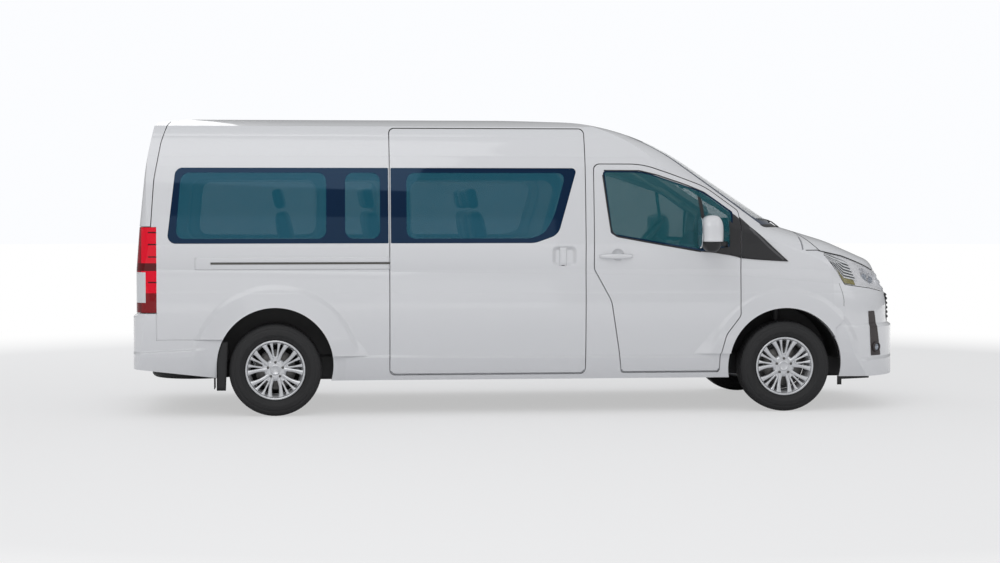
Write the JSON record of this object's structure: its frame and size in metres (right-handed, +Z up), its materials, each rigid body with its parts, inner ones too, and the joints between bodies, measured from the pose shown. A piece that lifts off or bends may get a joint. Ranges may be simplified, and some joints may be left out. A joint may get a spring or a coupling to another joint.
{
  "type": "minibus",
  "caption": "High-roof, long-wheelbase minibus with a sliding side door, hinged front doors, a top-hinged tailgate, a bonnet and wheels that roll and steer.",
  "frame": {"origin": "on the ground, under the middle of the vehicle's length and width", "axes": "+X forward, +Y to the vehicle's left, +Z up"},
  "size_m": [5.915, 2.476, 2.2359],
  "materials": {
    "body_paint": "white gloss paint",
    "glass": "tinted, clear",
    "black_trim": "grained black moulding",
    "cabin_plastic": "fine-grained",
    "lamp_lens": "clear moulding",
    "red_lens": "red moulding",
    "chassis": "black satin paint",
    "steel": "dull",
    "cast_iron": "as cast",
    "alloy": "silver lacquer",
    "tyre": "matt",
    "rubber": "matt",
    "seat_cloth": "woven cloth"
  },
  "bodies": {
    "root": {"floor_pan": "chassis", "right_side": "body_paint", "left_side": "body_paint", "roof": "body_paint", "windscreen": "glass", "screen_frame": "body_paint", "cowl": "black_trim", "front_fenders": "body_paint", "headlamps": "lamp_lens", "grille": "black_trim", "front_bumper": "body_paint", "rear_bumper": "body_paint", "tail_lamps": "red_lens", "side_glass": "glass", "sliding_door": "body_paint", "sliding_door_glass": "glass", "rear_portal": "body_paint", "wheel_liners": "black_trim", "bulkhead": "chassis", "engine": "cast_iron", "radiator": "alloy", "rear_axle": "chassis", "leaf_springs": "steel", "prop_shaft": "steel", "exhaust": "steel", "fuel_tank": "chassis", "spare_wheel": "tyre", "mudflaps": "rubber", "front_suspension": "chassis", "dashboard": "cabin_plastic", "seat_cushions": "seat_cloth", "seat_backs": "seat_cloth", "seat_frames": "chassis"},
    "right_knuckle": {"right_knuckle": "cast_iron"},
    "left_knuckle": {"left_knuckle": "cast_iron"},
    "right_front_wheel": {"right_front_tyre": "tyre", "right_front_rim": "alloy"},
    "left_front_wheel": {"left_front_tyre": "tyre", "left_front_rim": "alloy"},
    "right_rear_wheel": {"right_rear_tyre": "tyre", "right_rear_rim": "alloy"},
    "left_rear_wheel": {"left_rear_tyre": "tyre", "left_rear_rim": "alloy"},
    "steering_wheel": {"steering_wheel": "cabin_plastic"},
    "right_door": {"right_door": "body_paint", "right_door_glass": "glass", "right_mirror": "body_paint"},
    "left_door": {"left_door": "body_paint", "left_door_glass": "glass", "left_mirror": "body_paint"},
    "tailgate": {"tailgate": "body_paint", "tailgate_glass": "glass"},
    "bonnet": {"bonnet": "body_paint"}
  },
  "joints": [
    {"name": "right_steer", "type": "hinge", "parent": "root", "child": "right_knuckle", "pos_m": [1.9475, -0.773, 0.345], "axis": [0, 0, 1], "range_deg": [-35, 35]},
    {"name": "left_steer", "type": "hinge", "parent": "root", "child": "left_knuckle", "pos_m": [1.9475, 0.773, 0.345], "axis": [0, 0, 1], "range_deg": [-35, 35]},
    {"name": "steering_wheel_turn", "type": "hinge", "parent": "root", "child": "steering_wheel", "pos_m": [1.136, 0.43, 1.32], "axis": [-0.7732, 0, 0.6342], "range_deg": [-525, 525]},
    {"name": "right_front_spin", "type": "hinge", "parent": "right_knuckle", "child": "right_front_wheel", "pos_m": [1.9475, -0.835, 0.345], "axis": [0, 1, 0], "continuous": true},
    {"name": "left_front_spin", "type": "hinge", "parent": "left_knuckle", "child": "left_front_wheel", "pos_m": [1.9475, 0.835, 0.345], "axis": [0, 1, 0], "continuous": true},
    {"name": "right_rear_spin", "type": "hinge", "parent": "root", "child": "right_rear_wheel", "pos_m": [-1.9125, -0.835, 0.345], "axis": [0, 1, 0], "continuous": true},
    {"name": "left_rear_spin", "type": "hinge", "parent": "root", "child": "left_rear_wheel", "pos_m": [-1.9125, 0.835, 0.345], "axis": [0, 1, 0], "continuous": true},
    {"name": "right_door_hinge", "type": "hinge", "parent": "root", "child": "right_door", "pos_m": [1.603, -0.966, 0.9], "axis": [0, 0, 1], "range_deg": [0, 68]},
    {"name": "left_door_hinge", "type": "hinge", "parent": "root", "child": "left_door", "pos_m": [1.603, 0.966, 0.9], "axis": [0, 0, -1], "range_deg": [0, 68]},
    {"name": "tailgate_hinge", "type": "hinge", "parent": "root", "child": "tailgate", "pos_m": [-2.694, 0, 2.206], "axis": [0, 1, 0], "range_deg": [0, 88]},
    {"name": "bonnet_hinge", "type": "hinge", "parent": "root", "child": "bonnet", "pos_m": [1.827, 0, 1.402], "axis": [0, -1, 0], "range_deg": [0, 50]}
  ],
  "couplings": [
    {"joint": "left_steer", "follows": "right_steer", "ratio": 1},
    {"joint": "steering_wheel_turn", "follows": "right_steer", "ratio": 15}
  ]
}
